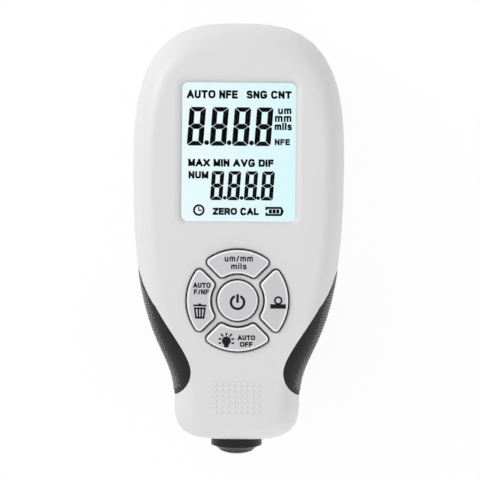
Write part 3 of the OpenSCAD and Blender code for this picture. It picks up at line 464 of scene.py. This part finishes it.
# Places in millimetres from near the middle of the panel. A word has its left, right, low and high
# edges and the weight of its strokes; a row of digits has its left edges, its foot and its sizes.
panel_low, panel_high = (np.array(corner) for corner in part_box("lcd_panel"))
panel_middle = (panel_low + panel_high)[:2] / 2
mark_shift, mark_lift = (-0.00012, 0.00012), 0.00002
mark_place = np.array([*panel_middle + mark_shift, panel_high[2] + mark_lift])
shown = [
    word("AUTO NFE", -12.95, -0.25, 13.31, 15.37, 0.54),
    word("SNG CNT", 1.95, 13.15, 13.31, 15.37, 0.54),
    digits([-12.87, -7.18, -1.62, 3.92], 1.55, width=4.1, height=9.62, upright=1.32, level=1.12,
           gap=0.08, lean=0.68),
    discs([(-7.91, 2.31), (-2.3, 2.31), (3.26, 2.31)], 0.6),
    word("um", 9.8, 13.15, 9.5, 11.0, 0.46),
    word("mm", 9.05, 13.15, 7.6, 9.12, 0.46),
    word("mils", 9.0, 13.3, 5.5, 7.4, 0.46),
    word("NFE", 9.05, 12.85, 1.8, 3.34, 0.42),
    word("MAX MIN AVG DIF", -12.45, 8.8, -3.72, -1.68, 0.54),
    word("NUM", -12.35, -7.4, -6.66, -4.84, 0.51),
    digits([-7.0, -2.8, 1.43, 5.57], -12.0, width=3.1, height=7.25, upright=1.02, level=0.88,
           gap=0.065, lean=0.5),
    discs([(-3.28, -11.41), (0.9, -11.41), (5.03, -11.41)], 0.47),
    word("ZERO CAL", -6.24, 5.2, -15.76, -13.81, 0.52),
]
clock = [
    strokes(arc(-9.72, -14.52, 1.2, 0, 360), 0.5),
    strokes([(-9.72, -14.7), (-9.72, -13.73)], 0.32),
    strokes([(-9.85, -14.56), (-9.0, -14.56)], 0.32),
]
charge = [
    strokes([(7.12, -14.4), (7.12, -13.83), (10.65, -13.83), (10.93, -14.13), (10.93, -15.28),
             (10.65, -15.58), (7.12, -15.58), (7.12, -15.0)], 0.54),
    patch((11.0, -15.2), (11.4, -15.0), (11.4, -14.4), (11.0, -14.2)),
    *[patch((x, -15.22), (x + 0.78, -15.22), (x + 0.78, -14.2), (x, -14.2))
      for x in (7.72, 8.64, 9.56)],
]
print_on("display_marks", shown + clock + charge, mark_place, "housing", crystal_dark)


# Keys
# Five keys moulded in ABS a shade darker than the shell: a round power key inside a ring of four.
# Each one is held under the shell by a flange and rests on the stem of a push switch.
key_abs, key_shader = finish("moulded_abs_key_grey", 0.38, 1.53)
mottle(key_abs, key_shader, abs_grain, "C3C3C5", "C7C7C9", 0.000003)

# The skirt of each key is painted dark grey, a painted shade in the gap round the key,
# and the rim of its top is painted pale, a painted highlight that draws a pale line round the key.
skirt_painted_shade, skirt_shade_shader = finish("key_skirt_painted_shade", 0.8, Specular_IOR_Level=0.2)
mottle(skirt_painted_shade, skirt_shade_shader, 0.0005, "3C3C3E", "444446", 0.000003)
rim_painted_highlight, rim_highlight_shader = finish("abs_rim_painted_highlight", 0.25, 1.53)
mottle(rim_painted_highlight, rim_highlight_shader, 0.0006, "E9E9EA", "EEEEEF")

# The upward share of a face's normal tells the flat top from the rim, and the rim from the skirt.
# Whatever lies more than a millimetre under the top belongs to the skirt.
flat_top, rim_end, rim_depth = 0.98, 0.2, 0.001
for key in ("power", "units", "mode", "zero", "light"):
    key_piece, = dress([key + "_key"], key + "_button", key_abs, 25)
    key_piece.data.materials.append(skirt_painted_shade)
    key_piece.data.materials.append(rim_painted_highlight)
    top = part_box(key + "_key")[1][2]
    upward = of_faces(key_piece, "normal")[:, 2]
    kind = np.where(upward > flat_top, 0, np.where(upward > rim_end, 2, 1))
    kind[of_faces(key_piece, "center")[:, 2] < top - rim_depth] = 1
    key_piece.data.polygons.foreach_set("material_index", kind.astype(np.int32))
    dress([key + "_plunger"], key + "_button", white_abs)


# Signs on the keys
# Black signs pad printed on the tops of the keys, a few hundredths of a millimetre thick.
# They say what each key does, in plain words and common symbols.
# Their places are in millimetres from the middle of the power key.
ink, ink_shader = finish("matt_printing_ink", 0.6, Specular_IOR_Level=0.2)
mottle(ink, ink_shader, 0.0005, "0E0E10", "161618")
key_low, key_high = (np.array(corner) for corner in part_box("power_key"))
sign_lift = 0.000015
sign_place = np.array([*(key_low + key_high)[:2] / 2, key_high[2] + sign_lift])

power_weight = 0.62
power_sign = [strokes(arc(0, -0.38, 1.61, 114, 426, 60), power_weight),
              strokes([(0, -0.5), (0, 1.63)], power_weight)]
print_on("power_sign", power_sign, sign_place, "power_button", ink)

units_sign = [word("um/mm", -3.28, 3.68, 9.54, 11.0, 0.31),
              word("mils", -1.65, 2.16, 7.69, 9.19, 0.31)]
print_on("units_sign", units_sign, sign_place, "units_button", ink)

bin_weight, rib_weight = 0.44, 0.42
mode_sign = [
    word("AUTO", -10.92, -6.62, 3.08, 4.34, 0.33),
    word("F/NF", -10.72, -7.02, 1.46, 2.73, 0.31),
    strokes([(-10.82, -1.2), (-7.59, -1.28)], bin_weight),
    strokes([(-9.6, -0.95), (-8.9, -0.95)], rib_weight),
    strokes([(-10.64, -1.92), (-7.79, -1.92)], bin_weight),
    strokes([(-10.46, -1.8), (-10.12, -4.42)], bin_weight),
    strokes([(-7.97, -1.8), (-8.31, -4.42)], bin_weight),
    strokes([(-10.3, -4.25), (-8.13, -4.25)], rib_weight),
    strokes([(-9.58, -1.9), (-9.54, -4.3)], rib_weight),
    strokes([(-8.85, -1.9), (-8.9, -4.3)], rib_weight),
]
print_on("mode_sign", mode_sign, sign_place, "mode_button", ink)

zero_sign = [strokes(arc(9.97, 0.13, 0.83, 0, 360), 0.44),
             patch((8.02, -1.86), (11.88, -1.86), (11.88, -0.77), (8.02, -0.77))]
print_on("zero_sign", zero_sign, sign_place, "zero_button", ink)

bulb_x, ray_weight = -2.66, 0.4
bulb_foot = [(-3.28, -10.85), (-3.16, -11.45), (-2.16, -11.45), (-2.04, -10.85)]
side_rays = [(0.77, -8.8, 1.33, -8.12), (1.22, -9.38, 1.92, -9.38), (1.22, -10.4, 1.92, -10.4)]
light_sign = [
    patch(*np.concatenate([arc(bulb_x, -9.85, 1.1, -30, 210, 30), bulb_foot])),
    *[strokes([(bulb_x + side * x0, y0), (bulb_x + side * x1, y1)], ray_weight)
      for side in (-1, 1) for x0, y0, x1, y1 in side_rays],
    strokes([(bulb_x, -8.55), (bulb_x, -7.86)], ray_weight),
    word("AUTO", 0.07, 4.42, -9.66, -8.45, 0.33),
    word("OFF", 0.62, 3.75, -11.31, -10.08, 0.33),
]
print_on("light_sign", light_sign, sign_place, "light_button", ink)


# Circuit board
# A plate of green glass-fibre laminate that carries the switches, the chip, the crystal and the
# buzzer. It is screwed up against the front shell, and the display stands on it.
# The tracks show through the green mask as a paler net, 6 mm wide.
track_size = 0.006
laminate, laminate_shader = finish("green_masked_laminate", 0.35, 1.55)
laminate_place = add(laminate, "TexCoord")
tracks = add(laminate, "TexBrick",
             {"Scale": 1 / track_size, "Mortar Size": 0.04, "Color1": linear("1F5A38"),
              "Color2": linear("1C5234"), "Mortar": linear("2E7A4C")},
             {"Vector": laminate_place.outputs["Object"]})
laminate.node_tree.links.new(tracks.outputs["Color"], laminate_shader.inputs["Base Color"])
dress(["circuit_board"], "housing", laminate)

# Moulded resin: the satin black of switches and chips.
black_resin, black_shader = finish("black_moulded_resin", 0.45)
mottle(black_resin, black_shader, 0.0004, "18181A", "202022", 0.000004)
dress(["switch_bodies", "main_chip", "buzzer"], "housing", black_resin)
dress(["probe_connector"], "housing", white_abs)


# Screws, crystal case and contacts
# Small pressed and turned pieces of nickel-plated steel: bright, with a fine uneven sheen.
# The housing screws sit deep in holes in the back, and the contacts stand at the bay's ends.
steel, steel_shader = finish("nickel_plated_steel", 0.28, Metallic=1.0)
mottle(steel, steel_shader, 0.0003, "B4B4B2", "C6C6C4", 0.000003)
dress(["crystal", "board_screws", "housing_screws", "bridge_contact", "positive_contact",
       "negative_contact"], "housing", steel)


# Battery cover
# A flat sliding plate of the same ABS as the shell, with five grooves for the thumb.
# Its side tongues run in slots in the rear shell, and it slides off towards the probe.
dress(["battery_cover"], "battery_door", shell_abs)


# Cells
# Two small round cells in printed film sleeves: dark, with a copper band at the nub's end.
# They lie side by side in the bay, turned end for end, so the band's end follows the sign of x.
band_end = 0.0005
film, film_shader = finish("printed_cell_sleeve", 0.3, 1.5)
film_place = add(film, "TexCoord")
film_axes = add(film, "SeparateXYZ", (), {"Vector": film_place.outputs["Object"]})
film_side = add(film, "Math", {1: 0.0}, {0: film_axes.outputs["X"]}, operation="SIGN")
film_way = add(film, "Math", (), {0: film_axes.outputs["Y"], 1: film_side.outputs["Value"]},
               operation="MULTIPLY")
film_band = add(film, "ValToRGB", (), {"Fac": film_way.outputs["Value"]})
film_band.color_ramp.interpolation = "CONSTANT"
film_band.color_ramp.elements[0].color = linear("C07A3A")
film_band.color_ramp.elements[1].position = band_end
film_band.color_ramp.elements[1].color = linear("26282C")
film.node_tree.links.new(film_band.outputs["Color"], film_shader.inputs["Base Color"])
dress(["left_cell", "right_cell"], "housing", film)


# Probe
# A sprung sleeve of black acetal, turned with a rounded nose and hollow taper, round a steel pole.
# It slides in a moulded guide against a coil spring, and a thin lead joins its coil to the board.
acetal, acetal_shader = finish("turned_black_acetal", 0.4, 1.48, Specular_IOR_Level=0.35)
mottle(acetal, acetal_shader, 0.0005, "121214", "18181A", 0.000003)
dress(["probe_sleeve"], "probe", acetal, 20)
dress(["probe_plug"], "probe", black_resin)
dress(["probe_bobbin"], "probe", white_abs)
dress(["probe_pole"], "probe", steel)
dress(["probe_guide", "probe_cap"], "housing", black_resin)

# As the sleeve goes in by 2.5 mm, the spring is pressed together towards the cap of the guide; here
# it only gets a mesh of its own and stays as it is.
spring_piece, = dress(["probe_spring"], "housing", steel)
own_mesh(spring_piece)

# The lead goes in with the sleeve up to the end of the plug and stays still from the cap onwards;
# here it is fixed where it lies, on no body.
lead_piece = merged("probe_lead", 30)
lead_piece.data.materials.append(foam)
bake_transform(lead_piece)
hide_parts("probe_lead")

# Enamelled copper wire: a warm metal whose fine turns, 0.2 mm apart, run round the bobbin.
wire_pitch = 0.0002
copper, copper_shader = finish("enamelled_copper_wire", 0.3, Metallic=1.0)
copper_place = mottle(copper, copper_shader, 0.0008, "A85A2C", "BC6C38")
turns = add(copper, "TexWave", {"Scale": np.pi / 10 / wire_pitch},
            {"Vector": copper_place.outputs["Object"]}, bands_direction="Y")
turn_lift = add(copper, "Bump", {"Distance": 0.00004}, {"Height": turns.outputs["Fac"]})
copper.node_tree.links.new(turn_lift.outputs["Normal"], copper_shader.inputs["Normal"])
dress(["probe_coil"], "probe", copper)


# Floor
# A sheet of white paper under the gauge. To the camera and in reflections it is mostly plain white,
# and the rest of it takes the light, so that the gauge keeps a faint shadow.
plain_part, floor_half = 0.93, 3
paper, paper_shader = finish("white_paper", 0.9, 1.4, Specular_IOR_Level=0.0)
mottle(paper, paper_shader, 0.001, "F4F4F4", "F8F8F8")
seen = add(paper, "LightPath")
near = add(paper, "Math", (), {0: seen.outputs["Is Camera Ray"], 1: seen.outputs["Is Glossy Ray"]},
           operation="MAXIMUM")
clear = add(paper, "Math", (), {0: near.outputs["Value"], 1: seen.outputs["Is Transmission Ray"]},
            operation="MAXIMUM")
white_share = add(paper, "Math", {1: plain_part}, {0: clear.outputs["Value"]}, operation="MULTIPLY")
plain_white = add(paper, "Emission", {"Color": (1, 1, 1, 1), "Strength": 1.0})
paper_mix = add(paper, "MixShader", (), {0: white_share.outputs["Value"],
                                         1: paper_shader.outputs["BSDF"],
                                         2: plain_white.outputs["Emission"]})
paper_end = paper.node_tree.nodes["Material Output"]
paper.node_tree.links.new(paper_mix.outputs["Shader"], paper_end.inputs["Surface"])
floor_corners = np.array([(-1, -1, 0), (1, -1, 0), (1, 1, 0), (-1, 1, 0)]) * floor_half
floor_mesh = bpy.data.meshes.new("floor")
floor_mesh.from_pydata(floor_corners.tolist(), [], [(0, 1, 2, 3)])
floor_mesh.materials.append(paper)
floor = put("floor", floor_mesh)


# Light and camera
# An even white room with a large soft lamp high on the left, a weak one low on the right and a
# camera overhead. The camera's slight turn is the one that the gauge has in its picture.
world = bpy.data.worlds.new("white_room")
world.use_nodes = True
room = world.node_tree.nodes["Background"]
room.inputs["Color"].default_value = (1, 1, 1, 1)
room.inputs["Strength"].default_value = 0.77
bpy.context.scene.world = world


def soft_light(name, width, power, place):
    """A round lamp, its width in metres and power in watts, turned from its place to the gauge."""
    lamp = bpy.data.lights.new(name, "AREA")
    lamp.shape, lamp.size, lamp.energy = "DISK", width, power
    stand = put(name, lamp)
    stand.location = place
    stand.rotation_euler = (-Vector(place)).to_track_quat("-Z", "Y").to_euler()


soft_light("soft_lamp", 0.5, 2.8, (-0.55, 0.38, 0.46))
soft_light("fill_lamp", 0.6, 1.6, (0.3, -0.68, 0.22))

lens = bpy.data.cameras.new("camera")
lens.lens, lens.sensor_width = 85, 36
camera = put("camera", lens)
camera.location = (0.00048, -0.000215, 0.3055)
camera.rotation_euler = (0, 0, np.radians(0.47))
bpy.context.scene.camera = camera
bpy.context.scene.view_settings.view_transform = "Standard"
